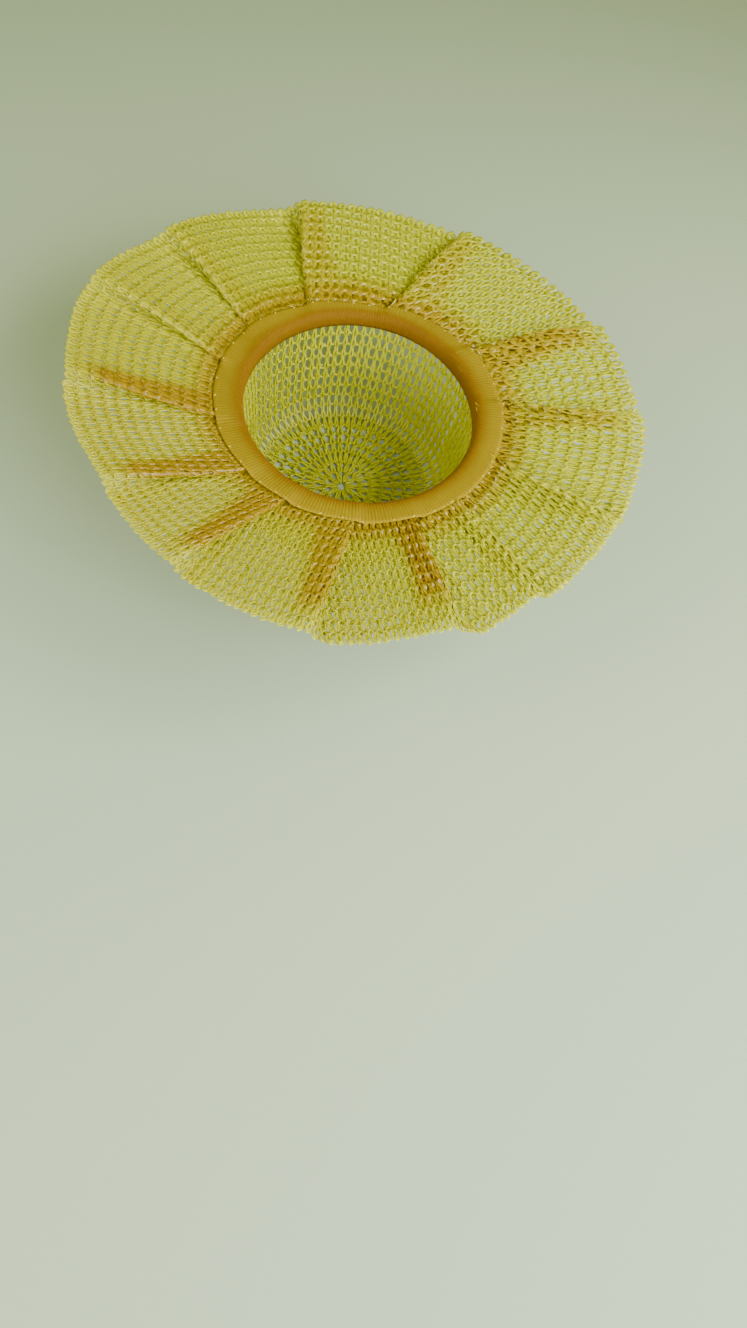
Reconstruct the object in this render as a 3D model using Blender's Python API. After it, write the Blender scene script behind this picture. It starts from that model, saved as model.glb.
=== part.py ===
"""A floppy summer hat of double knitted net, laid crown down with its head opening up.

Metres, +Z up. X runs from ear to ear and Y from the brow (-Y) to the nape (+Y).
"""

import math
from collections import namedtuple

import bpy
import numpy as np

# Head opening: half its width from ear to ear and half its length from brow to nape
HEAD_HALF_WIDTH = 0.0860
HEAD_HALF_LENGTH = 0.0990
CLEARANCE = 0.0003  # between two sewn pieces

# Crown
CROWN_DEPTH = 0.0900  # from the opening to the flat tip
CROWN_WALL = 0.0020
CROWN_TAPER = 0.0070  # the side wall leans in by this much down to the tip's rounding
TIP_ROUNDING = 0.0240

# Band
BAND_WIDTH = 0.0210  # the part that lies on the brim's pleats
BAND_DROP = 0.0060  # the part that turns down inside the crown
BAND_WALL = 0.0016
BAND_ROUNDING = 0.0030

# Brim
BRIM_WIDTH = 0.1265  # of the strip, from the opening to the rim
BRIM_RISE = 0.0200  # the rim stands this far above the opening
BRIM_WALL = 0.0016
FOLD_LENGTH = 0.0044  # of cloth that one fold of a pleat takes to turn
RIM_FLANK = 0.0140  # of a pleat's steep side at the rim
RIM_TAKE_UP = 0.0020  # of rim length that a pleat takes up

# How fully a pleat is pressed at the opening, where 2 is flat, and how late it opens
PRESSED = 1.998
OPENING_POWER = 4

# One row for each pleat, anticlockwise from +X. at: degrees at the rim. lean: degrees further at
# the opening. flank and take_up: shares of RIM_FLANK and RIM_TAKE_UP. reach: share of the rim's
# radius. lift: share of BRIM_RISE that the rim stands higher or lower.
Pleat = namedtuple("Pleat", "at lean flank take_up reach lift")
PLEATS = [
    Pleat(18, -2, 0.95, 1.1, 1.018, 0.00),
    Pleat(44, 5, 0.90, 1.0, 1.020, 0.05),
    Pleat(84, 0, 0.90, 1.1, 0.992, 0.00),
    Pleat(124, 0, 0.95, 1.3, 0.985, -0.10),
    Pleat(156, 0, 0.80, 0.8, 1.008, 0.00),
    Pleat(178, 1, 0.75, 0.6, 1.032, 0.10),
    Pleat(204, 4, 0.75, 0.6, 0.995, 0.00),
    Pleat(231, 4, 0.75, 0.6, 0.968, -0.05),
    Pleat(253, 0, 0.80, 0.8, 1.000, 0.00),
    Pleat(279, 0, 0.90, 1.0, 1.030, 0.00),
    Pleat(305, -3, 1.90, 2.2, 1.010, 0.05),
    Pleat(322, 2, 1.20, 2.4, 0.982, 0.00),
    Pleat(348, -2, 1.10, 2.1, 0.986, -0.05),
]

# Facets
BRIM_ROWS = 8
PANEL_CELLS = 4  # between two pleats
CROWN_COLUMNS = 48
CROWN_WALL_ROWS = 4
CROWN_ROUND_ROWS = 4
BAND_COLUMNS = 64
BAND_FLANGE_ROWS = 3
BAND_BEND_ROWS = 3
SAMPLES_PER_PLEAT = 240  # for summing the length along the strip

# Net gaps cut through: lozenges that fill this share of their cell
GAP_SHARE = 0.86
BRIM_GAP_ROWS = range(2, 7)
CROWN_GAP_ROW = 1
CROWN_GAP_EVERY = 3  # columns

COLOURS = {
    "net_yarn": (0.72, 0.66, 0.16, 1.0),
    "band_yarn": (0.55, 0.38, 0.05, 1.0),
}


def clear_scene():
    for obj in list(bpy.data.objects):
        bpy.data.objects.remove(obj, do_unlink=True)


def yarn_material(name, roughness):
    material = bpy.data.materials.new(name)
    material.use_nodes = True
    shader = material.node_tree.nodes["Principled BSDF"]
    shader.inputs["Base Color"].default_value = COLOURS[name]
    shader.inputs["Roughness"].default_value = roughness
    shader.inputs["Metallic"].default_value = 0.0
    material.diffuse_color = COLOURS[name]
    return material


class Sheet:
    """A surface of points with normals, which is then given a wall."""

    def __init__(self):
        self.points = []
        self.normals = []
        self.faces = []

    def point(self, place, normal):
        self.points.append(np.asarray(place, float))
        self.normals.append(np.asarray(normal, float) / np.linalg.norm(normal))
        return len(self.points) - 1

    def gap(self, corners, share):
        """Fills a cell all but a lozenge whose corners face the cell's four sides."""
        places = [self.points[c] for c in corners]
        normal = sum(self.normals[c] for c in corners)
        centre = sum(places) / 4
        inner = []
        for here, following in zip(places, places[1:] + places[:1]):
            middle = (here + following) / 2
            inner.append(self.point(centre + (middle - centre) * share, normal))
        for k in range(4):
            after = (k + 1) % 4
            self.faces.append((corners[k], corners[after], inner[k]))
            self.faces.append((corners[after], inner[after], inner[k]))

    def solid(self, name, above, below, material):
        """The wall from above to below the surface, closed round each edge and gap."""
        count = len(self.points)
        points = np.array(self.points)
        normals = np.array(self.normals)
        verts = np.concatenate([points + normals * above, points - normals * below])
        faces = [tuple(f) for f in self.faces]
        under = [tuple(v + count for v in reversed(f)) for f in self.faces]
        edges = {}
        for face in faces:
            for a, b in zip(face, face[1:] + face[:1]):
                edges[(a, b)] = True
        rims = [(b, a, a + count, b + count) for a, b in edges if (b, a) not in edges]
        mesh = bpy.data.meshes.new(name)
        mesh.from_pydata(verts.tolist(), [], faces + under + rims)
        mesh.validate()
        mesh.shade_smooth()
        mesh.set_sharp_from_angle(angle=math.radians(50))
        mesh.materials.append(material)
        obj = bpy.data.objects.new(name, mesh)
        bpy.context.scene.collection.objects.link(obj)
        return obj


def oval_length(half_width, half_length):
    return 2 * math.pi * math.sqrt((half_width**2 + half_length**2) / 2)


def ring_blend(turns, knots, values):
    """Smooth values round a closed ring, level at each knot."""
    period = 2 * math.pi
    knots = np.asarray(knots) % period
    order = np.argsort(knots)
    knots = knots[order]
    values = np.asarray(values)[order]
    knots = np.append(knots, knots[0] + period)
    values = np.append(values, values[0])
    turns = (np.asarray(turns) - knots[0]) % period + knots[0]
    low = np.clip(np.searchsorted(knots, turns, side="right") - 1, 0, len(knots) - 2)
    share = (turns - knots[low]) / (knots[low + 1] - knots[low])
    share = (1 - np.cos(np.pi * share)) / 2
    return values[low] * (1 - share) + values[low + 1] * share


class Brim:
    """A straight strip of cloth, pleated so that one edge fits the head."""

    def __init__(self):
        self.slope = math.asin(BRIM_RISE / BRIM_WIDTH)
        # The strip starts just outside the bend of the band
        bend = BAND_WALL / 2 + BAND_ROUNDING + FOLD_LENGTH * math.sin(self.slope)
        self.seam = bend + CLEARANCE
        self.start = self.seam / math.cos(self.slope) / BRIM_WIDTH
        rim = oval_length(*self.half_axes(1.0))
        opening = oval_length(*self.half_axes(self.start))
        self.rim_turn = np.radians([p.at for p in PLEATS])
        self.opening_turn = np.radians([p.at + p.lean for p in PLEATS])
        self.rim_take = RIM_TAKE_UP * np.array([p.take_up for p in PLEATS])
        self.rim_flank = RIM_FLANK * np.array([p.flank for p in PLEATS])
        # Cloth between one pleat and the next, and what each pleat takes up at the opening
        rim_arcs = self.steps(self.rim_turn) * rim / (2 * math.pi)
        cloth = rim_arcs + (self.rim_take + np.roll(self.rim_take, -1)) / 2
        opening_arcs = self.steps(self.opening_turn) * opening / (2 * math.pi)
        spare = cloth - opening_arcs
        self.opening_take = (spare + np.roll(spare, 1)) / 2
        self.strip = cloth.sum()
        self.pleat_at = np.concatenate([[0.0], np.cumsum(cloth)[:-1]])

    @staticmethod
    def steps(turns):
        return (np.roll(turns, -1) - turns) % (2 * math.pi)

    @staticmethod
    def half_axes(out):
        """Half width and length of the oval at a share of the way out along the strip."""
        run = math.sqrt(BRIM_WIDTH**2 - BRIM_RISE**2) * out
        return HEAD_HALF_WIDTH + run, HEAD_HALF_LENGTH + run

    def pleat_shape(self, out):
        """Flank length, and how steeply it stands, of each pleat at this share of the way out."""
        take = self.opening_take + (self.rim_take - self.opening_take) * out
        flank = take / PRESSED + self.rim_flank * out**OPENING_POWER
        steep = np.arccos(np.clip(1 - take / flank, 1 - PRESSED, 1.0))
        return flank, steep

    def stack_height(self, out):
        """How far the highest pleat's crest stands above its foot."""
        flank, steep = self.pleat_shape(out)
        turned = 2 * FOLD_LENGTH / steep * (1 - np.cos(steep))
        return float(np.max(turned + (flank - FOLD_LENGTH) * np.sin(steep)))

    def row(self, out):
        """The strip's own positions and, at each, the turn, height and steepness of the cloth."""
        flank, steep = self.pleat_shape(out)
        along = np.linspace(0, self.strip, SAMPLES_PER_PLEAT * len(PLEATS) + 1)
        angle = np.zeros_like(along)
        for at, length, most in zip(self.pleat_at, flank, steep):
            away = np.abs((along - at + self.strip / 2) % self.strip - self.strip / 2)
            straight = (length - FOLD_LENGTH) / 2
            # It turns down, so the panel that follows lies under this one
            angle -= most * np.clip((straight + FOLD_LENGTH - away) / FOLD_LENGTH, 0, 1)
        step = along[1] - along[0]
        middle = (angle[1:] + angle[:-1]) / 2
        arc = np.concatenate([[0.0], np.cumsum(np.cos(middle)) * step])
        height = np.concatenate([[0.0], np.cumsum(np.sin(middle)) * step])
        # Each pleat's centre is brought to its own turn and to the level of the plain brim
        knots = np.append(self.pleat_at, self.strip)
        turns = self.opening_turn + (self.rim_turn - self.opening_turn) * out
        turns = np.append(turns, turns[0] + 2 * math.pi)
        per_metre = 2 * math.pi / oval_length(*self.half_axes(out))
        centred = arc - np.interp(along, knots, np.interp(knots, along, arc))
        turn = np.interp(along, knots, turns) + centred * per_metre
        height -= np.interp(along, knots, np.interp(knots, along, height))
        return along, turn, height, angle

    def columns(self, out):
        """Strip positions of the facets: round each fold, along each flank and each panel."""
        flank, _ = self.pleat_shape(out)
        columns = []
        for k, at in enumerate(self.pleat_at):
            straight = (flank[k] - FOLD_LENGTH) / 2
            folds = straight + FOLD_LENGTH * np.array([0, 1 / 3, 2 / 3, 1])
            columns.extend(at - folds[::-1])
            columns.extend(at + folds)
            after = (k + 1) % len(PLEATS)
            following = self.pleat_at[after] + (self.strip if after == 0 else 0)
            end = following - (flank[after] + FOLD_LENGTH) / 2
            columns.extend(np.linspace(at + folds[-1], end, PANEL_CELLS + 1)[1:-1])
        return np.array(columns)

    def places(self, out):
        """Points and normals of the cloth's middle at the columns."""
        along, turn, height, angle = self.row(out)
        columns = self.columns(out)
        wrapped = columns % self.strip
        laps = np.floor(columns / self.strip) * 2 * math.pi
        turn = np.interp(wrapped, along, turn) + laps
        height = np.interp(wrapped, along, height)
        angle = np.interp(wrapped, along, angle)
        half_width, half_length = self.half_axes(out)
        reach = ring_blend(turn, self.rim_turn, [p.reach for p in PLEATS])
        lift = ring_blend(turn, self.rim_turn, [p.lift for p in PLEATS])
        rim_half_width, rim_half_length = self.half_axes(1.0)
        half_width = half_width + rim_half_width * (reach - 1) * out**2
        half_length = half_length + rim_half_length * (reach - 1) * out**2
        plain = np.stack(
            [
                half_width * np.cos(turn),
                half_length * np.sin(turn),
                CROWN_DEPTH + BRIM_RISE * (out + lift * out**2),
            ],
            axis=1,
        )
        sideways = np.stack([-np.sin(turn), np.cos(turn), 0 * turn], axis=1)
        upright = np.stack(
            [
                -math.sin(self.slope) * np.cos(turn),
                -math.sin(self.slope) * np.sin(turn),
                np.full_like(turn, math.cos(self.slope)),
            ],
            axis=1,
        )
        normals = upright * np.cos(angle)[:, None] - sideways * np.sin(angle)[:, None]
        return plain + upright * height[:, None], normals

    def build(self, material):
        sheet = Sheet()
        rows = []
        for out in np.linspace(self.start, 1.0, BRIM_ROWS + 1):
            points, normals = self.places(out)
            rows.append([sheet.point(p, n) for p, n in zip(points, normals)])
        per_pleat = len(rows[0]) // len(PLEATS)
        first_panel_cell = per_pleat - PANEL_CELLS
        for j in range(BRIM_ROWS):
            inner, outer = rows[j], rows[j + 1]
            for i in range(len(inner)):
                after = (i + 1) % len(inner)
                corners = (inner[i], outer[i], outer[after], inner[after])
                cell = i % per_pleat - first_panel_cell + 1
                in_panel = 1 <= cell < PANEL_CELLS
                if in_panel and j in BRIM_GAP_ROWS and (cell + j) % 2:
                    sheet.gap(corners, GAP_SHARE)
                else:
                    sheet.faces.append(corners)
        return sheet.solid("brim", BRIM_WALL / 2, BRIM_WALL / 2, material)


def lathe(sheet, profile, columns, gap_cells=()):
    """Turns (half width, half length, height, normal out, normal up) rows round the oval."""
    rows = []
    for half_width, half_length, height, normal_out, normal_up in profile:
        row = []
        for k in range(columns):
            turn = 2 * math.pi * k / columns
            place = (half_width * math.cos(turn), half_length * math.sin(turn), height)
            normal = (normal_out * math.cos(turn), normal_out * math.sin(turn), normal_up)
            row.append(sheet.point(place, normal))
        rows.append(row)
    for j, (upper, lower) in enumerate(zip(rows, rows[1:])):
        for k in range(columns):
            after = (k + 1) % columns
            corners = (upper[k], lower[k], lower[after], upper[after])
            if (j, k) in gap_cells:
                sheet.gap(corners, GAP_SHARE)
            else:
                sheet.faces.append(corners)
    return rows


def build_crown(brim, material):
    """A side wall that leans in a little, a rounded edge and a flat tip at height 0."""
    brim_foot = brim.stack_height(brim.start) / 2 + BRIM_WALL
    top = CROWN_DEPTH - brim_foot - CLEARANCE
    outside = BAND_WALL + CLEARANCE + CROWN_WALL
    lean = math.atan2(CROWN_TAPER, top - TIP_ROUNDING)
    profile = []
    for j in range(CROWN_WALL_ROWS + 1):
        share = j / CROWN_WALL_ROWS
        out = outside - CROWN_TAPER * share
        height = top + (TIP_ROUNDING - top) * share
        profile.append(
            (HEAD_HALF_WIDTH + out, HEAD_HALF_LENGTH + out, height, 1.0, -math.tan(lean))
        )
    for j in range(1, CROWN_ROUND_ROWS + 1):
        arc = math.pi / 2 * j / CROWN_ROUND_ROWS
        out = outside - CROWN_TAPER - TIP_ROUNDING * (1 - math.cos(arc))
        height = TIP_ROUNDING * (1 - math.sin(arc))
        normal_out = math.cos(arc) if j < CROWN_ROUND_ROWS else 0.0
        profile.append(
            (HEAD_HALF_WIDTH + out, HEAD_HALF_LENGTH + out, height, normal_out, -math.sin(arc))
        )
    gap_cells = {(CROWN_GAP_ROW, k) for k in range(0, CROWN_COLUMNS, CROWN_GAP_EVERY)}
    sheet = Sheet()
    rows = lathe(sheet, profile, CROWN_COLUMNS, gap_cells)
    centre = sheet.point((0, 0, 0), (0, 0, -1))
    tip = rows[-1]
    for k in range(CROWN_COLUMNS):
        sheet.faces.append((tip[k], centre, tip[(k + 1) % CROWN_COLUMNS]))
    return sheet.solid("crown", 0.0, CROWN_WALL, material)


def build_band(brim, material):
    """A ring that lies on the pleats' crests and turns down inside the crown."""
    outer_share = BAND_WIDTH / BRIM_WIDTH
    crests = max(brim.stack_height(brim.start), brim.stack_height(outer_share)) / 2
    lift = crests + BRIM_WALL / 2 + CLEARANCE + BAND_WALL / 2
    slope = brim.slope
    middle = BAND_WALL / 2

    def flange(out):
        """Out from the opening and up from its level, along the brim's slope."""
        return out - lift * math.sin(slope), out * math.tan(slope) + lift / math.cos(slope)

    bend_start = middle + BAND_ROUNDING + lift * math.sin(slope)
    outer_end = BAND_WIDTH * math.cos(slope)
    line = []
    for j in range(BAND_FLANGE_ROWS):
        out, up = flange(outer_end + (bend_start - outer_end) * j / BAND_FLANGE_ROWS)
        line.append((out, up, -math.sin(slope), math.cos(slope)))
    out, up = flange(bend_start)
    centre = (middle + BAND_ROUNDING, up - BAND_ROUNDING)
    for j in range(BAND_BEND_ROWS + 1):
        arc = math.pi / 2 + (math.pi / 2) * j / BAND_BEND_ROWS
        line.append(
            (
                centre[0] + BAND_ROUNDING * math.cos(arc),
                centre[1] + BAND_ROUNDING * math.sin(arc),
                math.cos(arc),
                math.sin(arc),
            )
        )
    line.append((middle, -BAND_DROP, -1.0, 0.0))
    profile = [
        (HEAD_HALF_WIDTH + out, HEAD_HALF_LENGTH + out, CROWN_DEPTH + up, normal_out, normal_up)
        for out, up, normal_out, normal_up in reversed(line)
    ]
    sheet = Sheet()
    lathe(sheet, profile, BAND_COLUMNS)
    return sheet.solid("head_band", BAND_WALL / 2, BAND_WALL / 2, material)


def centre_on_origin(objects):
    """Puts the middle of the outline over the origin."""
    corners = np.array([v.co for obj in objects for v in obj.data.vertices])
    middle = (corners.min(axis=0) + corners.max(axis=0)) / 2
    for obj in objects:
        for vertex in obj.data.vertices:
            vertex.co.x -= middle[0]
            vertex.co.y -= middle[1]
        obj.data.update()


def main():
    clear_scene()
    net = yarn_material("net_yarn", 0.35)
    dense = yarn_material("band_yarn", 0.45)
    brim = Brim()
    pieces = [brim.build(net), build_crown(brim, net), build_band(brim, dense)]
    centre_on_origin(pieces)


main()
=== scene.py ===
import math
import bpy
import numpy as np
from mathutils import Matrix, Vector


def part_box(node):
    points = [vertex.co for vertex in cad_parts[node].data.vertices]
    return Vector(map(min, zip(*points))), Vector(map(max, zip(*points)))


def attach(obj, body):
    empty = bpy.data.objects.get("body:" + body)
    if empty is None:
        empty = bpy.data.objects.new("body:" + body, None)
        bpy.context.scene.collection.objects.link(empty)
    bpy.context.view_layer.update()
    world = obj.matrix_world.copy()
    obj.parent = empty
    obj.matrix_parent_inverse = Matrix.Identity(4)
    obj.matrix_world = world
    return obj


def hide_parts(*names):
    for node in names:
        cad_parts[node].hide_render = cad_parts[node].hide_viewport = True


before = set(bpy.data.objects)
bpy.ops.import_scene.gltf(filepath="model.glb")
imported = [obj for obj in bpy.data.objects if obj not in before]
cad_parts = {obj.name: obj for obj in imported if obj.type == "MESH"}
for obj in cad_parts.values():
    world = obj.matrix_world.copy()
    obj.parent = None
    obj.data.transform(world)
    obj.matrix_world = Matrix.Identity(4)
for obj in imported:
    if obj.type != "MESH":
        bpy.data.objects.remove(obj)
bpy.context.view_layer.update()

turnOnce = 2 * math.pi


# Small helpers

# sRGB hex to the linear colour that shaders take
def linearColour(hexValue):
    channels = [int(hexValue[i:i + 2], 16) / 255 for i in (1, 3, 5)]
    return [c / 12.92 if c <= 0.04045 else ((c + 0.055) / 1.055) ** 2.4 for c in channels] + [1.0]


# adds a node, sets its settings and input values, and links sockets into it
def addNode(tree, kind, settings=None, values=None, links=None):
    node = tree.nodes.new(kind)
    for key, value in (settings or {}).items():
        setattr(node, key, value)
    for key, value in (values or {}).items():
        node.inputs[key].default_value = value
    for key, socket in (links or {}).items():
        tree.links.new(socket, node.inputs[key])
    return node


def unit(vectors):
    return vectors / np.maximum(np.linalg.norm(vectors, axis=-1, keepdims=True), 1e-12)


def meshObject(name, points, quads, material, **values):
    mesh = bpy.data.meshes.new(name)
    mesh.from_pydata(points.tolist(), [], quads.tolist())
    mesh.shade_smooth()
    for key, value in values.items():
        layer = mesh.attributes.new(key, "FLOAT", "POINT")
        layer.data.foreach_set("value", np.asarray(value, np.float32))
    mesh.materials.append(material)
    obj = bpy.data.objects.new(name, mesh)
    bpy.context.scene.collection.objects.link(obj)
    return obj


# six times the volume that the faces enclose, below 0 where they point inwards
def signedVolume(points, quads):
    a, b, c, d = (points[quads[:, k]] for k in range(4))
    return np.einsum("ij,ij->", a, np.cross(b, c)) + np.einsum("ij,ij->", a, np.cross(c, d))


def facingOut(points, quads):
    return quads if signedVolume(points, quads) > 0 else quads[:, ::-1]


# Head opening: the oval that everything else is fitted round

opening = dict(
    halfWidth=0.0860,   # ear to ear
    halfLength=0.0990,  # brow to nape
    height=0.0900,      # above the tip of the crown, which lies on the floor
)
bandLow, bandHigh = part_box("head_band")
openingCentre = np.array([(bandLow.x + bandHigh.x) / 2, (bandLow.y + bandHigh.y) / 2, 0.0])


def ovalLength(halfWidth, halfLength):
    return turnOnce * math.sqrt((halfWidth ** 2 + halfLength ** 2) / 2)


# Brim: a straight strip of net, pleated so that one edge fits the head

brim = dict(
    width=0.1265,        # of the strip, opening to rim
    rise=0.0200,         # of the rim above the opening
    start=0.0048,        # the net starts this far out, under the band
    beyond=1.04,         # and its cloth is worked out a little past the rim, for the loops
    foldLength=0.0044,   # of cloth that one fold takes to turn
    rimFlank=0.0140,     # of a pleat's steep side at the rim
    rimTakeUp=0.0020,    # of rim length that a pleat takes up
    pressed=1.998,       # 2 is a pleat pressed quite flat at the opening
    openingPower=4,      # how late along its length a pleat opens
    leastTake=0.0001,    # of cloth in a fold, anywhere
    samplesPerPleat=120,
    rows=56,
    # anticlockwise from +X: degrees at the rim, degrees further at the opening, shares of rimFlank,
    # rimTakeUp, the rim's radius and rise, shares of the net's stitch width, row pitch and ribbon
    # width, as the net is pulled wide and flat at the brow and lies closer at the nape, shade, how
    # much painted golden shade the fold has, and shine, how much painted highlight its edge has
    pleatColumns="at lean flank takeUp reach lift mesh rows ribbon shade shine".split(),
    pleats=[
        (18, -2, 0.95, 1.1, 1.018, 0.00, 0.80, 1.06, 1.60, 0.6, 0.8),
        (44, 5, 0.90, 1.0, 1.020, 0.05, 1.05, 1.02, 1.60, 0.8, 0.8),
        (84, 0, 0.90, 1.1, 0.992, 0.00, 1.12, 1.00, 1.60, 0.5, 0.8),
        (124, 0, 0.95, 1.3, 0.985, -0.10, 0.92, 0.97, 1.30, 0.5, 1.6),
        (156, 0, 0.80, 0.8, 1.008, 0.00, 0.82, 0.95, 1.02, 0.3, 1.6),
        (178, 1, 0.75, 0.6, 1.032, 0.10, 0.80, 0.94, 0.88, 0.3, 1.6),
        (204, 4, 0.75, 0.6, 0.995, 0.00, 0.72, 0.92, 0.74, 1.0, 1.0),
        (231, 4, 0.75, 0.6, 0.968, -0.05, 0.66, 0.90, 0.68, 1.0, 1.0),
        (253, 0, 0.80, 0.8, 1.000, 0.00, 0.66, 0.92, 0.70, 1.0, 1.0),
        (279, 0, 0.90, 1.0, 1.030, 0.00, 0.66, 0.96, 0.80, 0.9, 1.0),
        (305, -3, 1.90, 2.2, 1.010, 0.05, 0.64, 1.00, 1.05, 1.0, 1.2),
        (322, 2, 1.20, 2.4, 0.982, 0.00, 0.64, 1.04, 1.25, 0.1, 2.2),
        (348, -2, 1.10, 2.1, 0.986, -0.05, 0.66, 1.08, 1.45, 0.1, 2.2),
    ],
    doubledFrom=0.90,    # radians a pleat's side leans before its layers lie on each other
    doubledOver=0.9,     # and how much more until they touch
    doubledEdge=0.010,   # soft edge of the darker wedge painted where they lie double, and its clear edge
    openEdge=0.003,
    highlightEdge=0.0065,  # cloth beside a fold's edge that is painted paler, as a painted highlight
)
slope = math.asin(brim["rise"] / brim["width"])


def pleat(column):
    return np.array([row[brim["pleatColumns"].index(column)] for row in brim["pleats"]], float)


# half width and length of the plain brim at a share of the way out
def halfAxes(out):
    run = math.sqrt(brim["width"] ** 2 - brim["rise"] ** 2) * out
    return opening["halfWidth"] + run, opening["halfLength"] + run


# smooth values round the closed ring, level at each knot
def ringBlend(turns, knots, values):
    knots = np.append(knots, knots[0] + turnOnce)
    values = np.append(values, values[0])
    turns = (np.asarray(turns) - knots[0]) % turnOnce + knots[0]
    low = np.clip(np.searchsorted(knots, turns, side="right") - 1, 0, len(knots) - 2)
    share = (1 - np.cos(math.pi * (turns - knots[low]) / (knots[low + 1] - knots[low]))) / 2
    return values[low] * (1 - share) + values[low + 1] * share


# the part of a turn from each pleat to the next
def pleatSteps(turns):
    return (np.roll(turns, -1) - turns) % turnOnce / turnOnce


# middle of the pleated cloth on a grid of places along and across the strip
def pleatCloth():
    start = brim["start"] / brim["width"]
    rimTurn, openTurn = np.radians(pleat("at")), np.radians(pleat("at") + pleat("lean"))
    rimTake = brim["rimTakeUp"] * pleat("takeUp")
    cloth = pleatSteps(rimTurn) * ovalLength(*halfAxes(1)) + (rimTake + np.roll(rimTake, -1)) / 2
    spare = cloth - pleatSteps(openTurn) * ovalLength(*halfAxes(start))
    openTake = (spare + np.roll(spare, 1)) / 2
    strip, pleatAt = cloth.sum(), np.concatenate([[0], np.cumsum(cloth)[:-1]])
    knots = np.append(pleatAt, strip)
    along = np.linspace(0, strip, brim["samplesPerPleat"] * len(cloth) + 1)
    fold = brim["foldLength"]
    outs = np.linspace(start, brim["beyond"], brim["rows"])
    grid = dict(points=[], normals=[], doubled=[], paleAndLit=[])
    for out in outs:
        take = np.maximum(openTake + (rimTake - openTake) * out, brim["leastTake"])
        opened = brim["rimFlank"] * pleat("flank") * out ** brim["openingPower"]
        flank = take / brim["pressed"] + opened
        steep = np.arccos(np.clip(1 - take / flank, 1 - brim["pressed"], 1))
        angle, doubled, paleAndLit = (np.zeros_like(along) for each in range(3))
        looks = zip(pleatAt, flank, steep, pleat("shade"), pleat("shine"))
        for at, side, most, shade, shine in looks:
            past = (along - at + strip / 2) % strip - strip / 2
            away = np.abs(past)
            # it turns down, so the panel that follows lies under this one
            angle -= most * np.clip(((side + fold) / 2 - away) / fold, 0, 1)
            # the panel before a fold lies double, and is painted deeper gold, as the shade of the
            # fold and of light that comes through two layers
            over = np.clip((past + 1.5 * side) / brim["doubledEdge"] + 1, 0, 1)
            over *= np.clip(-(past + side / 2) / brim["openEdge"] + 1, 0, 1)
            shut = np.clip((most - brim["doubledFrom"]) / brim["doubledOver"], 0, 1)
            doubled = np.maximum(doubled, over * shut * shade)
            # from its upper edge to where the cloth comes out from under it, it is painted paler: a
            # painted highlight on the edge, which also lightens the shade in the crevice
            beyond = np.maximum(np.maximum(past - 1.5 * side, -side / 2 - past), 0)
            beside = np.clip(1 - beyond / brim["highlightEdge"], 0, 1)
            paleAndLit = np.maximum(paleAndLit, beside * shine)
        middle = (angle[1:] + angle[:-1]) / 2
        arc = np.concatenate([[0], np.cumsum(np.cos(middle)) * along[1]])
        height = np.concatenate([[0], np.cumsum(np.sin(middle)) * along[1]])
        # each pleat's centre is brought to its own turn and to the level of the plain brim
        turns = openTurn + (rimTurn - openTurn) * min(out, 1)
        turns = np.append(turns, turns[0] + turnOnce)
        arc -= np.interp(along, knots, np.interp(knots, along, arc))
        height -= np.interp(along, knots, np.interp(knots, along, height))
        turn = np.interp(along, knots, turns) + arc * turnOnce / ovalLength(*halfAxes(out))
        reach = (ringBlend(turn, rimTurn, pleat("reach")) - 1) * out ** 2
        lift = ringBlend(turn, rimTurn, pleat("lift")) * out ** 2
        wide, long = (half + rimHalf * reach for half, rimHalf in zip(halfAxes(out), halfAxes(1)))
        level = opening["height"] + brim["rise"] * (out + lift)
        c, s = np.cos(turn), np.sin(turn)
        upright = np.stack([-math.sin(slope) * c, -math.sin(slope) * s, 0 * c + math.cos(slope)], 1)
        sideways = np.stack([-s, c, 0 * c], 1)
        plain = np.stack([wide * c, long * s, level], 1) + openingCentre
        grid["points"].append(plain + upright * height[:, None])
        grid["normals"].append(upright * np.cos(angle)[:, None] - sideways * np.sin(angle)[:, None])
        grid["doubled"].append(doubled)
        grid["paleAndLit"].append(paleAndLit)
    grid = {key: np.array(value) for key, value in grid.items()}
    return dict(grid, strip=strip, outs=outs, pleatShares=pleatAt / strip)


# reads a grid of values at fractional rows and columns
def onGrid(grid, down, across):
    rows, columns = grid.shape[:2]
    down, across = np.clip(down, 0, rows - 1.001), np.clip(across, 0, columns - 1.001)
    r, c = down.astype(int), across.astype(int)
    u, v = across - c, down - r
    if grid.ndim == 3:
        u, v = u[..., None], v[..., None]
    upper = grid[r, c] * (1 - u) + grid[r, c + 1] * u
    lower = grid[r + 1, c] * (1 - u) + grid[r + 1, c + 1] * u
    return upper * (1 - v) + lower * v


# Knitting: rows of loops, each row hooked through the heads of the last

stitch = dict(
    reach=0.66,          # half of a loop's height, in rows
    lean=0.20,           # swing of a loop's legs, in stitches
    spread=0.11,         # its legs stand this much nearer its neighbours', which leaves big
                         # and small holes by turns
    uneven=0.035,        # and every other loop is this much wider or narrower
    bow=0.00035,         # heads and feet stand out of the cloth by this much
    rimReach=0.42,       # of the free heads along the rim, in rows
    rimLean=0.03,        # they stand wide and come to a point
    rimSpread=-0.16,
    twist=0.32,          # radians by which the ribbon tilts as it turns, and its spread
    twistSpread=0.20,
    steps=10,            # points along one loop
    corners=4,           # of the flat ribbon's section
    toneSeed=100,        # added to a layer's seed, for the tones of its rows
)


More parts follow.
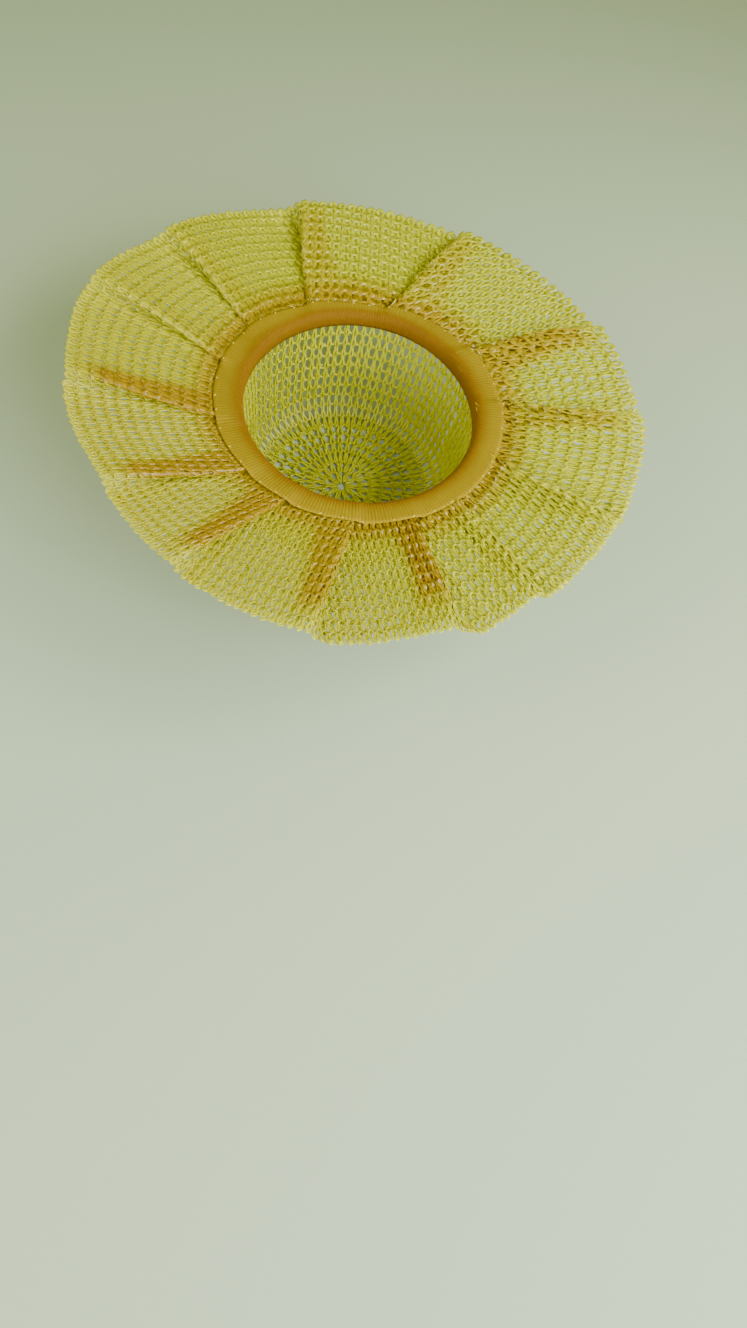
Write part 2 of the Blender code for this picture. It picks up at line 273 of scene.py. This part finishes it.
# centre line of each row of loops: stitches along, places across, height above the cloth, a
# small shift along, and the ribbon's tilt
def loopRows(stitches, rowCentres, rowPitch, unevenness, seed, rimRow=None):
    t = turnOnce * np.arange(stitches * stitch["steps"]) / stitch["steps"]
    rng = np.random.default_rng(seed)
    rows = []
    for j, centre in enumerate(rowCentres):
        lean, reach = np.full_like(t, stitch["lean"]), np.full_like(t, stitch["reach"])
        spread = stitch["spread"] + stitch["uneven"] * np.cos(t / 2)
        if j == rimRow:
            # 1 round a loop's head and 0 at its feet
            head = np.clip(0.5 - np.cos(t), 0, 1)
            lean += (stitch["rimLean"] - stitch["lean"]) * head
            spread = spread + (stitch["rimSpread"] - spread) * head
        along = t / turnOnce + lean * np.sin(2 * t) + spread * np.sin(t)
        rise = -np.cos(t)
        if j == rimRow:
            point = np.arcsin(np.clip(rise, 0, 1)) * 2 / math.pi
            rise = np.where(rise > 0, point * stitch["rimReach"] / stitch["reach"], rise)
        across = centre + reach * rowPitch * rise
        # heads and feet wander a little from loop to loop
        loose = rng.normal(0, unevenness, (2, 2 * stitches))
        at = np.arange(2 * stitches + 1) / 2
        wander = [np.interp(t / turnOnce, at, np.append(l, l[0])) for l in loose]
        tilt = rng.normal(0, stitch["twistSpread"], 2 * stitches)
        tilt = np.interp(t / turnOnce, at, np.append(tilt, tilt[0])) + stitch["twist"] * np.sin(t)
        rows.append((along, across + wander[0], stitch["bow"] * np.cos(2 * t), wander[1], tilt))
    return rows


# one closed tube of flat ribbon along each closed line of points, which has normals, a tilt and
# spread of its ribbon, and how much painted golden shade and how pale (random tone and painted
# highlights) the ribbon looks
def ribbonMesh(name, strands, look, material):
    count = stitch["corners"]
    around = turnOnce * (np.arange(count) + 0.5) / count
    corner = math.sqrt(2)  # the section's corners reach this much further than its sides
    allPoints, allQuads, doubled, tone = [], [], [], []
    base = 0
    for points, normals, tilt, spread, dark, pale in strands:
        tangent = unit(np.roll(points, -1, axis=0) - np.roll(points, 1, axis=0))
        level = unit(np.cross(tangent, normals))
        upright = np.cross(level, tangent)
        c, s = np.cos(tilt)[:, None], np.sin(tilt)[:, None]
        side, up = level * c + upright * s, upright * c - level * s
        wide = look["ribbonWidth"] * spread * corner / 2
        ring = points[:, None] + side[:, None] * (wide[:, None] * np.cos(around))[..., None]
        ring = ring + up[:, None] * (np.sin(around) * corner * look["ribbonThickness"] / 2)[:, None]
        index = base + np.arange(len(points) * count).reshape(-1, count)
        beside = np.roll(index, -1, axis=1)
        ahead = np.roll(index, -1, axis=0)
        across = np.roll(ahead, -1, axis=1)
        allQuads.append(np.stack([index, beside, across, ahead], -1).reshape(-1, 4))
        allPoints.append(ring.reshape(-1, 3))
        doubled.append(np.repeat(dark, count))
        tone.append(np.repeat(pale, count))
        base += len(points) * count
    allPoints, allQuads = np.concatenate(allPoints), np.concatenate(allQuads)
    return meshObject(name, allPoints, facingOut(allPoints, allQuads), material,
                      doubled=np.concatenate(doubled), tone=np.concatenate(tone))


# Materials

# Rayon straw: flat viscose ribbon, extruded smooth and dyed lemon, which gives small white glints.
# It is half clear and glows where light comes through it; deeper gold is painted where it lies
# double in the folds, as shade, and paler lemon is painted as highlights.
rayonStraw = dict(
    lemon="#dad600", paleAndLit="#f8f224", gold="#cc9e00",
    roughness=0.20, ior=1.53, shine=0.40, clear=0.45, glow=0.60, glowDepth=0.0030,
    fadedPatch=0.060,   # metres across
    fibreWidth=0.0008,  # drawn coarser than the real fibre, which would be too fine to show
)
# The same ribbon knitted dense and drawn tight, so it is duller and more golden.
denseStraw = dict(
    lemon="#7c6a00", paleAndLit="#a08e00", gold="#744a00",
    roughness=0.72, ior=1.53, shine=0.12, clear=0.0, glow=0.50, glowDepth=0.0030,
    fadedPatch=0.035, fibreWidth=0.0009,
)
# Mercerised cotton thread: a soft pale sheen.
cottonThread = dict(
    lemon="#cfba30", paleAndLit="#e0d264", gold="#c0a83c",
    roughness=0.40, ior=1.53, shine=0.40, clear=0.0, glow=0.15, glowDepth=0.0008,
    fadedPatch=0.020, fibreWidth=0.0006,
)

# what the three have in common
strawSurface = dict(
    patchDetail=3,
    fibreDetail=2,
    fading=0.8,                 # how much paler the faded patches are
    smoother=0.08,              # a fibre's roughness varies by this much below
    rougher=0.10,               # and above
    bump=0.4,
    reliefShare=3,              # a fibre stands out by its width divided by this
    glowReach=(1.0, 0.8, 0.2),  # red and green light go far in it, blue hardly
)


def strawMaterial(name, look):
    surface = strawSurface
    material = bpy.data.materials.new(name)
    material.use_nodes = True
    tree = material.node_tree
    shader = tree.nodes["Principled BSDF"]
    place = addNode(tree, "ShaderNodeTexCoord").outputs["Object"]
    patches = addNode(tree, "ShaderNodeTexNoise", links={"Vector": place},
                      values={"Scale": 1 / look["fadedPatch"], "Detail": surface["patchDetail"]})
    fibres = addNode(tree, "ShaderNodeTexNoise", links={"Vector": place},
                     values={"Scale": 1 / look["fibreWidth"], "Detail": surface["fibreDetail"]})
    tone = addNode(tree, "ShaderNodeAttribute", {"attribute_name": "tone"})
    doubled = addNode(tree, "ShaderNodeAttribute", {"attribute_name": "doubled"})
    # tone moves the colour towards the pale one: faded patches at random, and painted highlights;
    # the golden shade mask moves it towards gold, as painted shade
    fadeAndLight = addNode(tree, "ShaderNodeMath", {"operation": "MULTIPLY_ADD", "use_clamp": True},
                    {1: surface["fading"]}, {0: patches.outputs["Fac"], 2: tone.outputs["Fac"]})
    single = addNode(tree, "ShaderNodeMix", {"data_type": "RGBA"},
                     {6: linearColour(look["lemon"]), 7: linearColour(look["paleAndLit"])},
                     {0: fadeAndLight.outputs[0]})
    colour = addNode(tree, "ShaderNodeMix", {"data_type": "RGBA"}, {7: linearColour(look["gold"])},
                     {0: doubled.outputs["Fac"], 6: single.outputs[2]})
    smoothest = look["roughness"] - surface["smoother"]
    roughest = look["roughness"] + surface["rougher"]
    gloss = addNode(tree, "ShaderNodeMapRange", values={3: smoothest, 4: roughest},
                    links={0: fibres.outputs["Fac"]})
    relief = look["fibreWidth"] / surface["reliefShare"]
    bump = addNode(tree, "ShaderNodeBump", values={"Strength": surface["bump"], "Distance": relief},
                   links={"Height": fibres.outputs["Fac"]})
    tree.links.new(colour.outputs[2], shader.inputs["Base Color"])
    tree.links.new(gloss.outputs[0], shader.inputs["Roughness"])
    tree.links.new(bump.outputs[0], shader.inputs["Normal"])
    shader.inputs["IOR"].default_value = look["ior"]
    shader.inputs["Specular IOR Level"].default_value = look["shine"]
    shader.inputs["Transmission Weight"].default_value = look["clear"]
    shader.inputs["Subsurface Weight"].default_value = look["glow"]
    shader.inputs["Subsurface Radius"].default_value = surface["glowReach"]
    shader.inputs["Subsurface Scale"].default_value = look["glowDepth"]
    return material


netYarn = strawMaterial("lemon_rayon_straw", rayonStraw)
bandYarn = strawMaterial("gold_dense_rayon_straw", denseStraw)
seamThread = strawMaterial("pale_cotton_thread", cottonThread)


# Brim net: two layers, knitted as one long flat tube

brimNet = dict(
    stitchWidth=0.0088,
    rowPitch=0.0099,
    rowCount=12,
    ribbonWidth=0.0018,
    ribbonThickness=0.0004,
    nearPressed=1.15,    # shares by which the near and the far layer are pressed wider where the
    farPressed=0.75,     # cloth lies double, and both where a fold's edge catches the light
    edgeWider=0.25,
    layerGap=0.0014,     # between the middles of the two layers
    gatheredFrom=0.027,  # out from the opening, where the net lies drawn together, painted darker and golden as shade
    gatheredTo=0.050,
    gatheredGold=0.9,
    unevenness=0.00035,
    slip=0.50,           # stitches and rows that the layers lie out of step, so that each
    rowSlip=0.08,        # backs the other's holes
    slipFades=9.0,       # to nothing at the rim, over 1/9 of the width
    farWider=1.12,       # the layer on the crown's side lies flatter, and is painted paler, for the light that comes through where the net lies single
    farPale=0.55,        # had the sun
    nearPower=1.30,      # the other is narrower still where the net lies close
    nearPale=-0.20,
    nearGold=0.80,       # the near layer is painted darker, and more golden where its ribbon is narrow, as shade
    goldBelow=1.20,
    rimHighlight=0.35,        # painted highlight: how much paler the rim, the tips of its loops and the folds' edges are painted
    tipHighlight=1.20,        # folds' edges
    foldHighlight=0.80,
    rimHighlightPower=3,      # how near the rim that is
    tipFrom=0.965,       # share of the way out where the tips start, and how far they fade in
    tipOver=0.02,
    toneSpread=0.06,     # how much paler or darker one row is than another
    rimInset=0.0009,     # of the tips of the loops along the rim
    shareSteps=4001,     # places where the length of the strip is looked up
)


# share of the strip's length at each of many stitches, closer where the net is
def stitchShares(cloth):
    shares = np.linspace(0, 1, brimNet["shareSteps"])
    closeness = 1 / ringBlend(shares * turnOnce, cloth["pleatShares"] * turnOnce, pleat("mesh"))
    counted = np.concatenate([[0], np.cumsum((closeness[1:] + closeness[:-1]) / 2) * shares[1]])
    # an even count, as the loops are wide and narrow by turns
    stitches = 2 * round(counted[-1] * cloth["strip"] / brimNet["stitchWidth"] / 2)
    return stitches, lambda at: np.interp(at / stitches % 1, counted / counted[-1], shares)


def brimLayer(name, cloth, side, far, seed):
    stitches, shareAt = stitchShares(cloth)
    firstRow = brim["width"] - stitch["rimReach"] * brimNet["rowPitch"] - brimNet["rimInset"]
    centres = firstRow - brimNet["rowPitch"] * np.arange(brimNet["rowCount"])
    rng = np.random.default_rng(seed + stitch["toneSeed"])
    low, high, columns = cloth["outs"][0], cloth["outs"][-1], cloth["points"].shape[1]
    strands = []
    loops = loopRows(stitches, centres, brimNet["rowPitch"], brimNet["unevenness"], seed, rimRow=0)
    for along, across, above, wander, tilt in loops:
        turn = shareAt(along) * turnOnce
        if far:
            fade = np.clip((1 - across / brim["width"]) * brimNet["slipFades"], 0, 1)
            along = along + brimNet["slip"] * fade
            across = across + brimNet["rowSlip"] * fade * brimNet["rowPitch"]
        share = shareAt(along) + wander / cloth["strip"]
        closer = ringBlend(turn, cloth["pleatShares"] * turnOnce, pleat("rows"))
        across = brim["width"] - (brim["width"] - across) * closer
        down = (across / brim["width"] - low) / (high - low) * (brim["rows"] - 1)
        at = share % 1 * (columns - 1)
        normals = unit(onGrid(cloth["normals"], down, at))
        above = above + side * brimNet["layerGap"] / 2
        points = onGrid(cloth["points"], down, at) + normals * above[:, None]
        out = across / brim["width"]
        paleAndLit = onGrid(cloth["paleAndLit"], down, at)
        nearRim = np.clip(out, 0, 1) ** brimNet["rimHighlightPower"]
        tip = np.clip((out - brimNet["tipFrom"]) / brimNet["tipOver"], 0, 1)
        # each row's tone differs at random; the far layer is painted paler as light through it, the
        # near one darker as shade, and the rim, the loops' tips and the folds' edges paler as
        # painted highlights
        tone = brimNet["farPale" if far else "nearPale"] + rng.normal(0, brimNet["toneSpread"])
        tone = tone + brimNet["rimHighlight"] * nearRim + brimNet["foldHighlight"] * paleAndLit
        tone = tone + brimNet["tipHighlight"] * tip
        # painted golden shade where the net is drawn together near the opening and where it lies
        # double
        gathering = brimNet["gatheredTo"] - brimNet["gatheredFrom"]
        gathered = np.clip((brimNet["gatheredTo"] - across) / gathering, 0, 1)
        dark = np.maximum(onGrid(cloth["doubled"], down, at), gathered * brimNet["gatheredGold"])
        pulled = ringBlend(turn, cloth["pleatShares"] * turnOnce, pleat("ribbon"))
        spread = brimNet["farWider"] * pulled if far else pulled ** brimNet["nearPower"]
        pressed = brimNet["farPressed" if far else "nearPressed"]
        spread = spread * (1 + pressed * dark + brimNet["edgeWider"] * paleAndLit)
        # painted golden shade on the near layer where its ribbon is narrow
        narrow = np.clip(brimNet["goldBelow"] - pulled, 0, 1) * brimNet["nearGold"]
        dark = dark if far else np.maximum(dark, narrow)
        strands.append((points, normals, tilt, spread, dark, tone))
    layer = ribbonMesh(name, strands, brimNet, netYarn)
    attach(layer, "root")
    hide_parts("brim")
    return layer


cloth = pleatCloth()
print("brim cloth", round(cloth["strip"], 4), "m long")
underNet = brimLayer("brim_under_net", cloth, 1, False, 11)
topNet = brimLayer("brim_top_net", cloth, -1, True, 12)
print("brim net", len(underNet.data.polygons) * 2, "triangles a layer")


# Crown net: the same two layers, drawn in to a flat tip that lies on the floor

crown = dict(
    taper=0.0070,        # the side leans in by this much
    tipRounding=0.0240,
    stitches=80,         # round the opening, halved as the crown narrows
    narrowest=0.0048,    # stitch width at which two are knitted together
    rowPitch=0.0099,
    ribbonWidth=0.0016,
    ribbonThickness=0.0006,
    layerGap=0.0014,
    unevenness=0.0004,
    drawnHole=0.0008,    # half width of the hole at the drawn-up tip
    twistRoom=0.0005,    # the ribbon's tilted edges reach this much further out
    underBand=0.0020,    # the first row is this much higher than the top
    tipShort=0.0020,     # and no loop comes nearer the middle of the tip
    waveOver=1.6,        # the waves round it fade out at 1/1.6 of the way to the middle
    tone=-0.15,          # a little darker than the brim, and how much rows differ
    toneSpread=0.06,
    waves=((5, 0.0010, 0.4), (13, 0.0008, 1.9), (8, 0.0007, 4.0)),  # round it: count, depth, start
)
crownLow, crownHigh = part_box("crown")


# path down the side, round the edge and in over the tip, by length from the top
def crownPath(length):
    halfWidth, halfLength = (crownHigh.x - crownLow.x) / 2, (crownHigh.y - crownLow.y) / 2
    rounding = crown["tipRounding"]
    side = math.hypot(crownHigh.z - rounding, crown["taper"])
    arc = rounding * math.pi / 2
    flatWidth = halfWidth - crown["taper"] - rounding
    flatLength = halfLength - crown["taper"] - rounding
    total = side + arc + (flatWidth + flatLength) / 2
    s = np.asarray(length, float)
    down = np.clip(s / side, 0, 1)
    bend = np.clip((s - side) / arc, 0, 1) * math.pi / 2
    flat = np.clip((s - side - arc) / (total - side - arc), 0, 1)
    inset = crown["taper"] * down + rounding * (1 - np.cos(bend))
    lean = math.atan2(crown["taper"], crownHigh.z - rounding)
    tilt = np.where(bend > 0, bend, lean)
    return dict(
        wide=(halfWidth - inset) - flatWidth * flat,
        long=(halfLength - inset) - flatLength * flat,
        height=crownHigh.z + (rounding - crownHigh.z) * down - rounding * np.sin(bend),
        out=np.cos(tilt), up=-np.sin(tilt), total=total, share=s / total,
    )


def crownLayer(name, inset, seed):
    total = crownPath(0.0)["total"]
    end = total - crown["drawnHole"] - stitch["reach"] * crown["rowPitch"]
    first = stitch["reach"] * crown["rowPitch"] - crown["underBand"]
    centres = np.arange(first, end, crown["rowPitch"])
    strands = []
    rng = np.random.default_rng(seed + stitch["toneSeed"])
    for j, centre in enumerate(centres):
        stitches = crown["stitches"]
        here = crownPath(centre)
        while ovalLength(here["wide"], here["long"]) / stitches < crown["narrowest"]:
            stitches //= 2
        [(along, across, above, wander, tilt)] = loopRows(
            stitches, [centre], crown["rowPitch"], crown["unevenness"], seed + j)
        path = crownPath(np.clip(across, 0, total - crown["tipShort"]))
        turn = (along / stitches + wander / ovalLength(here["wide"], here["long"])) * turnOnce
        soft = np.sin(math.pi * np.clip(path["share"] * crown["waveOver"], 0, 1))
        wave = sum(depth * np.sin(count * turn + start) for count, depth, start in crown["waves"])
        c, s = np.cos(turn), np.sin(turn)
        normals = unit(np.stack([path["out"] * c, path["out"] * s, path["up"] + 0 * c], 1))
        points = np.stack([path["wide"] * c, path["long"] * s, path["height"]], 1) + openingCentre
        points += normals * (above - inset + np.minimum(soft * wave, 0))[:, None]
        tone = rng.normal(crown["tone"], crown["toneSpread"])
        strands.append((points, normals, tilt, 1 + 0 * c, 0 * c, tone + 0 * c))
    layer = ribbonMesh(name, strands, crown, netYarn)
    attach(layer, "root")
    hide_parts("crown")
    return layer


firstInset = stitch["bow"] + crown["ribbonThickness"] / 2 + crown["twistRoom"]
outerCrown = crownLayer("crown_outer_net", firstInset, 31)
innerCrown = crownLayer("crown_inner_net", firstInset + crown["layerGap"], 61)
print("crown net", len(outerCrown.data.polygons) * 2, "triangles a layer")


# Head band: dense knit round the opening, over the pleats and down inside the crown

band = dict(
    width=0.0210,        # that lies on the pleats
    drop=0.0060,         # inside the crown
    wall=0.0016,
    rounding=0.0030,
    edgeWall=0.0004,     # at its outer edge, where the knit thins out
    narrowAt=110,        # degrees round, where it lies rolled in and looks narrower
    narrowFor=38,
    narrowBy=0.50,
    ribWidth=0.0021,     # fine ribs that run across it
    ribDepth=0.00018,
    columnsPerRib=4,
    sectionPoints=12,    # along each side of its section
    pleatShow=0.90,      # how far it follows the pleats under it
    pleatReach=0.0045,   # and how far on each side of one
    innerShow=0.4,       # share of that at its inner edge
    endWall=0.55,        # shares of its wall that its ends have, and that the rest adds,
    bodyWall=0.45,       # as its edges are rounded
    endPower=24,
    ribWander=0.5,       # radians by which the ribs wander, at each of so many places round
    wanderKnots=60,
    ribGold=0.3,         # painted golden shade: between ribs, inside where it turns down, and outside from halfway out
    innerGold=0.7,       # halfway out
    outerGold=0.25,
    outerGoldFrom=0.5,
    outerGoldRise=4,
    tone=-0.1,           # how pale, and how much paler at its outer edge
    outerPale=0.8,
    seed=5,
)


# height of the highest layer of net over the plain brim, by turn, a little outside the opening
def pleatCrests(cloth, turns, out):
    row = np.abs(cloth["outs"] - out).argmin()
    points = cloth["points"][row] - openingCentre
    wide, long = halfAxes(cloth["outs"][row])
    at = np.arctan2(points[:, 1] / long, points[:, 0] / wide) % turnOnce
    plain = opening["height"] + brim["rise"] * cloth["outs"][row]
    empty = -1.0
    bins = np.full(len(turns), empty)
    np.maximum.at(bins, (at / turnOnce * len(turns)).astype(int) % len(turns), points[:, 2] - plain)
    for k in range(1, len(turns)):
        if bins[k] == empty:
            bins[k] = bins[k - 1]
    if bins[0] == empty:
        bins[0] = bins[-1]
    reach = round(band["pleatReach"] / ovalLength(*halfAxes(out)) * len(turns))
    highest = np.max([np.roll(bins, k) for k in range(-reach, reach + 1)], axis=0)
    kernel = np.hanning(2 * reach + 3)[1:-1]
    wrapped = np.concatenate([highest[-reach:], highest, highest[:reach]])
    return np.convolve(wrapped, kernel / kernel.sum(), "valid")


def headBand():
    ribs = round(ovalLength(opening["halfWidth"], opening["halfLength"]) / band["ribWidth"])
    columns = ribs * band["columnsPerRib"]
    turns = turnOnce * np.arange(columns) / columns
    fromNarrow = np.degrees(turns) - band["narrowAt"]
    shrink = band["narrowBy"] * np.exp(-(fromNarrow / band["narrowFor"]) ** 2)
    crests = pleatCrests(cloth, turns, band["width"] / brim["width"])
    inner = pleatCrests(cloth, turns, brim["start"] / brim["width"])
    # CAD band's highest level at its outer edge, over the plain brim
    top = bandHigh.z - opening["height"] - brim["rise"] * band["width"] / brim["width"]
    ease = band["pleatShow"]
    outerLift = (top - band["wall"]) * (1 - ease) + (crests + band["wall"]) * ease
    show = band["innerShow"]
    innerLift = (top - band["wall"]) * (1 - ease * show) + (inner + band["wall"]) * ease * show
    count = band["sectionPoints"]
    share = np.linspace(0, 1, count)
    # the middle line: up out of the crown, round the bend and out over the pleats
    bend = band["rounding"] + band["wall"] / 2
    drop = band["drop"] + np.mean(innerLift)
    flat = band["width"] - bend
    lengths = np.array([drop - bend, bend * math.pi / 2, flat])
    s = share * lengths.sum()
    up = np.clip(s, 0, lengths[0])
    arc = np.clip((s - lengths[0]) / lengths[1], 0, 1) * math.pi / 2
    run = np.clip(s - lengths[0] - lengths[1], 0, flat)
    out = bend * (1 - np.cos(arc)) + run + band["wall"] / 2
    rise = (up + bend * np.sin(arc)) / drop
    rng = np.random.default_rng(band["seed"])
    knots = np.linspace(0, turnOnce, band["wanderKnots"])
    ribPhase = turns * ribs + np.interp(turns, knots, rng.normal(0, band["ribWander"], len(knots)))
    # without wander where the ring closes
    ribPhase[-1] = turns[-1] * ribs
    points, shades, tones = [], [], []
    wave = np.cos(ribPhase)
    for side in (1, -1):
        order = range(count) if side > 0 else range(count - 1, -1, -1)
        for k in order:
            far = run[k] / flat
            lift = innerLift * (1 - far) + outerLift * far
            base = opening["height"] + brim["rise"] * out[k] / brim["width"]
            level = base - band["drop"] + (band["drop"] + lift) * rise[k]
            thick = band["wall"] + (band["edgeWall"] - band["wall"]) * far ** 2
            ends = 1 - (2 * abs(share[k] - 0.5)) ** band["endPower"]
            ribbed = side * (thick / 2) * (band["endWall"] + band["bodyWall"] * ends)
            ribbed = ribbed + (side > 0) * band["ribDepth"] * wave
            offOut = -math.cos(arc[k]) * ribbed - shrink * run[k]
            offUp = math.sin(arc[k]) * ribbed
            wide = opening["halfWidth"] + out[k] + offOut
            long = opening["halfLength"] + out[k] + offOut
            points.append(np.stack([wide * np.cos(turns), long * np.sin(turns), level + offUp], 1))
            # painted golden shade at both edges and between ribs, greener between the edges
            outside = min(max(far - band["outerGoldFrom"], 0) * band["outerGoldRise"], 1)
            golden = band["innerGold"] * (1 - far) ** 3 + band["outerGold"] * outside
            shades.append((0.5 - 0.5 * wave) * band["ribGold"] + golden)
            tones.append(band["outerPale"] * far ** 3 + band["tone"] + 0 * turns)
    points = np.array(points) + openingCentre
    rows = len(points)
    index = np.arange(rows * columns).reshape(rows, columns)
    below, after = np.roll(index, -1, axis=0), np.roll(index, -1, axis=1)
    quads = np.stack([index, below, np.roll(below, -1, axis=1), after], -1).reshape(-1, 4)
    flatPoints = points.reshape(-1, 3)
    shades = np.clip(np.array(shades).reshape(-1), 0, 1)
    ring = meshObject("head_band_knit", flatPoints, facingOut(flatPoints, quads), bandYarn,
                      doubled=shades, tone=np.array(tones).reshape(-1))
    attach(ring, "root")
    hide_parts("head_band")
    return ring, points[count - 1], turns


bandRing, bandEdge, bandTurns = headBand()
print("head band", len(bandRing.data.polygons) * 2, "triangles")


# Stitches: pale thread that shows along the band's outer edge

seam = dict(
    count=41,
    length=0.0030,
    shortest=0.4,     # share of that length
    thickness=0.0008,
    inset=0.0012,
    offPlace=0.2,     # of the way to the next one, at most
    turned=0.6,       # how far they turn off the edge
    proud=0.8,        # of half its thickness, in the middle
    sunk=0.0001,      # at its ends
    blunt=0.05,       # its ends are this much of its section
    sides=6,
    rings=5,
    seed=8,
)


def bandStitches():
    rng = np.random.default_rng(seam["seed"])
    allPoints, allQuads = [], []
    base = 0
    for k in range(seam["count"]):
        place = k + rng.uniform(-seam["offPlace"], seam["offPlace"])
        at = place / seam["count"] * len(bandTurns) % len(bandTurns)
        here = bandEdge[int(at)]
        there = bandEdge[(int(at) + 1) % len(bandTurns)]
        along = unit(there - here)
        outward = unit((here - openingCentre) * (1, 1, 0))
        along = unit(along + outward * rng.normal(0, seam["turned"]))
        length = seam["length"] * rng.uniform(seam["shortest"], 1.0)
        upward = unit(np.cross(outward, along))
        upward = upward if upward[2] > 0 else -upward
        sideways = np.cross(upward, along)
        for j in range(seam["rings"]):
            share = j / (seam["rings"] - 1) * 2 - 1
            thick = seam["thickness"] / 2 * math.sqrt(max(1 - share ** 4, seam["blunt"]))
            lift = upward * (thick * seam["proud"] * (1 - share ** 2) - seam["sunk"])
            centre = here - outward * seam["inset"] + along * share * length / 2 + lift
            for i in range(seam["sides"]):
                a = turnOnce * i / seam["sides"]
                allPoints.append(centre + (sideways * math.cos(a) + upward * math.sin(a)) * thick)
        for j in range(seam["rings"] - 1):
            for i in range(seam["sides"]):
                first = base + j * seam["sides"]
                after = (i + 1) % seam["sides"]
                allQuads.append((first + i, first + after,
                                 first + seam["sides"] + after, first + seam["sides"] + i))
        last = base + (seam["rings"] - 1) * seam["sides"]
        # its two ends, of six sides each
        allQuads.append((base + 3, base + 2, base + 1, base))
        allQuads.append((base + 5, base + 4, base + 3, base))
        allQuads.append((last, last + 1, last + 2, last + 3))
        allQuads.append((last, last + 3, last + 4, last + 5))
        base += seam["rings"] * seam["sides"]
    allPoints, allQuads = np.array(allPoints), np.array(allQuads)
    thread = meshObject("band_stitches", allPoints, facingOut(allPoints, allQuads), seamThread,
                        doubled=np.zeros(len(allPoints)), tone=np.zeros(len(allPoints)))
    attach(thread, "root")


bandStitches()
print("stitches", seam["count"])


# Floor: pale grey-green matt studio paper

floorPaper = dict(
    size=10.0,
    colour="#a9b89c",
    speckle=0.004,
    speckleShade=0.97,
    roughness=0.9,
    shine=0.2,
)


def studioFloor():
    half = floorPaper["size"] / 2
    corners = np.array([(-1, -1, 0), (1, -1, 0), (1, 1, 0), (-1, 1, 0)]) * half
    material = bpy.data.materials.new("matt_studio_paper")
    material.use_nodes = True
    tree = material.node_tree
    shader = tree.nodes["Principled BSDF"]
    place = addNode(tree, "ShaderNodeTexCoord").outputs["Object"]
    grain = addNode(tree, "ShaderNodeTexNoise", values={"Scale": 1 / floorPaper["speckle"]},
                    links={"Vector": place})
    base = linearColour(floorPaper["colour"])
    dark = [c * floorPaper["speckleShade"] for c in base[:3]] + [1.0]
    colour = addNode(tree, "ShaderNodeMix", {"data_type": "RGBA"}, {6: dark, 7: base},
                     {0: grain.outputs["Fac"]})
    tree.links.new(colour.outputs[2], shader.inputs["Base Color"])
    shader.inputs["Roughness"].default_value = floorPaper["roughness"]
    shader.inputs["Specular IOR Level"].default_value = floorPaper["shine"]
    floor = meshObject("floor", corners, np.array([[0, 1, 2, 3]]), material)


studioFloor()


# Light: a wide soft window at the right, two more in front, and a pale green room

lights = dict(
    # name: place, size, power and colour
    window=((1.0, 0.1, 1.0), 0.8, 21.0, "#fffff0"),
    front=((0.80, -0.80, 0.80), 0.8, 29.0, "#e8efff"),
    left=((-0.65, -0.80, 0.65), 0.8, 11.0, "#fffff4"),
)
lampAim = (0, 0, 0.1)
room = dict(colour="#ced678", strength=0.62)


def studioLights():
    for name, (place, size, power, colour) in lights.items():
        data = bpy.data.lights.new(name, "AREA")
        data.shape = "SQUARE"
        data.size = size
        data.energy = power
        data.color = linearColour(colour)[:3]
        lamp = bpy.data.objects.new(name, data)
        lamp.location = place
        back = Vector(place) - Vector(lampAim)
        lamp.rotation_euler = back.to_track_quat("Z", "Y").to_euler()
        bpy.context.scene.collection.objects.link(lamp)
    world = bpy.data.worlds.new("room")
    bpy.context.scene.world = world
    world.use_nodes = True
    background = world.node_tree.nodes["Background"]
    background.inputs["Color"].default_value = linearColour(room["colour"])
    background.inputs["Strength"].default_value = room["strength"]


studioLights()


# Camera: the photo's view of the brim, 747 x 1328 pixels, from above the floor

view = dict(
    fromRim=(0.0722, -0.5806, 0.5057),   # camera from the middle of the rim
    elevation=55.34,                     # of the way back along the axis, in degrees
    roll=19.22,
    focalPixels=1022,
    framePixels=(747, 1328),
    sensorHeight=24.0,                   # mm
    nearest=0.01,
)


def photoCamera():
    data = bpy.data.cameras.new("camera")
    data.sensor_fit = "VERTICAL"
    data.sensor_height = view["sensorHeight"]
    data.lens = data.sensor_height * view["focalPixels"] / view["framePixels"][1]
    data.clip_start = view["nearest"]
    lift, roll = math.radians(view["elevation"]), math.radians(view["roll"])
    back = Vector((0, -math.cos(lift), math.sin(lift)))
    level = Vector((0, 0, 1)).cross(back).normalized()
    steep = back.cross(level)
    right = level * math.cos(roll) + steep * math.sin(roll)
    up = steep * math.cos(roll) - level * math.sin(roll)
    rimCentre = Vector(openingCentre) + Vector((0, 0, opening["height"] + brim["rise"]))
    camera = bpy.data.objects.new("camera", data)
    turned = Matrix((right, up, back)).transposed().to_4x4()
    camera.matrix_world = Matrix.Translation(rimCentre + Vector(view["fromRim"])) @ turned
    bpy.context.scene.collection.objects.link(camera)
    bpy.context.scene.camera = camera


photoCamera()
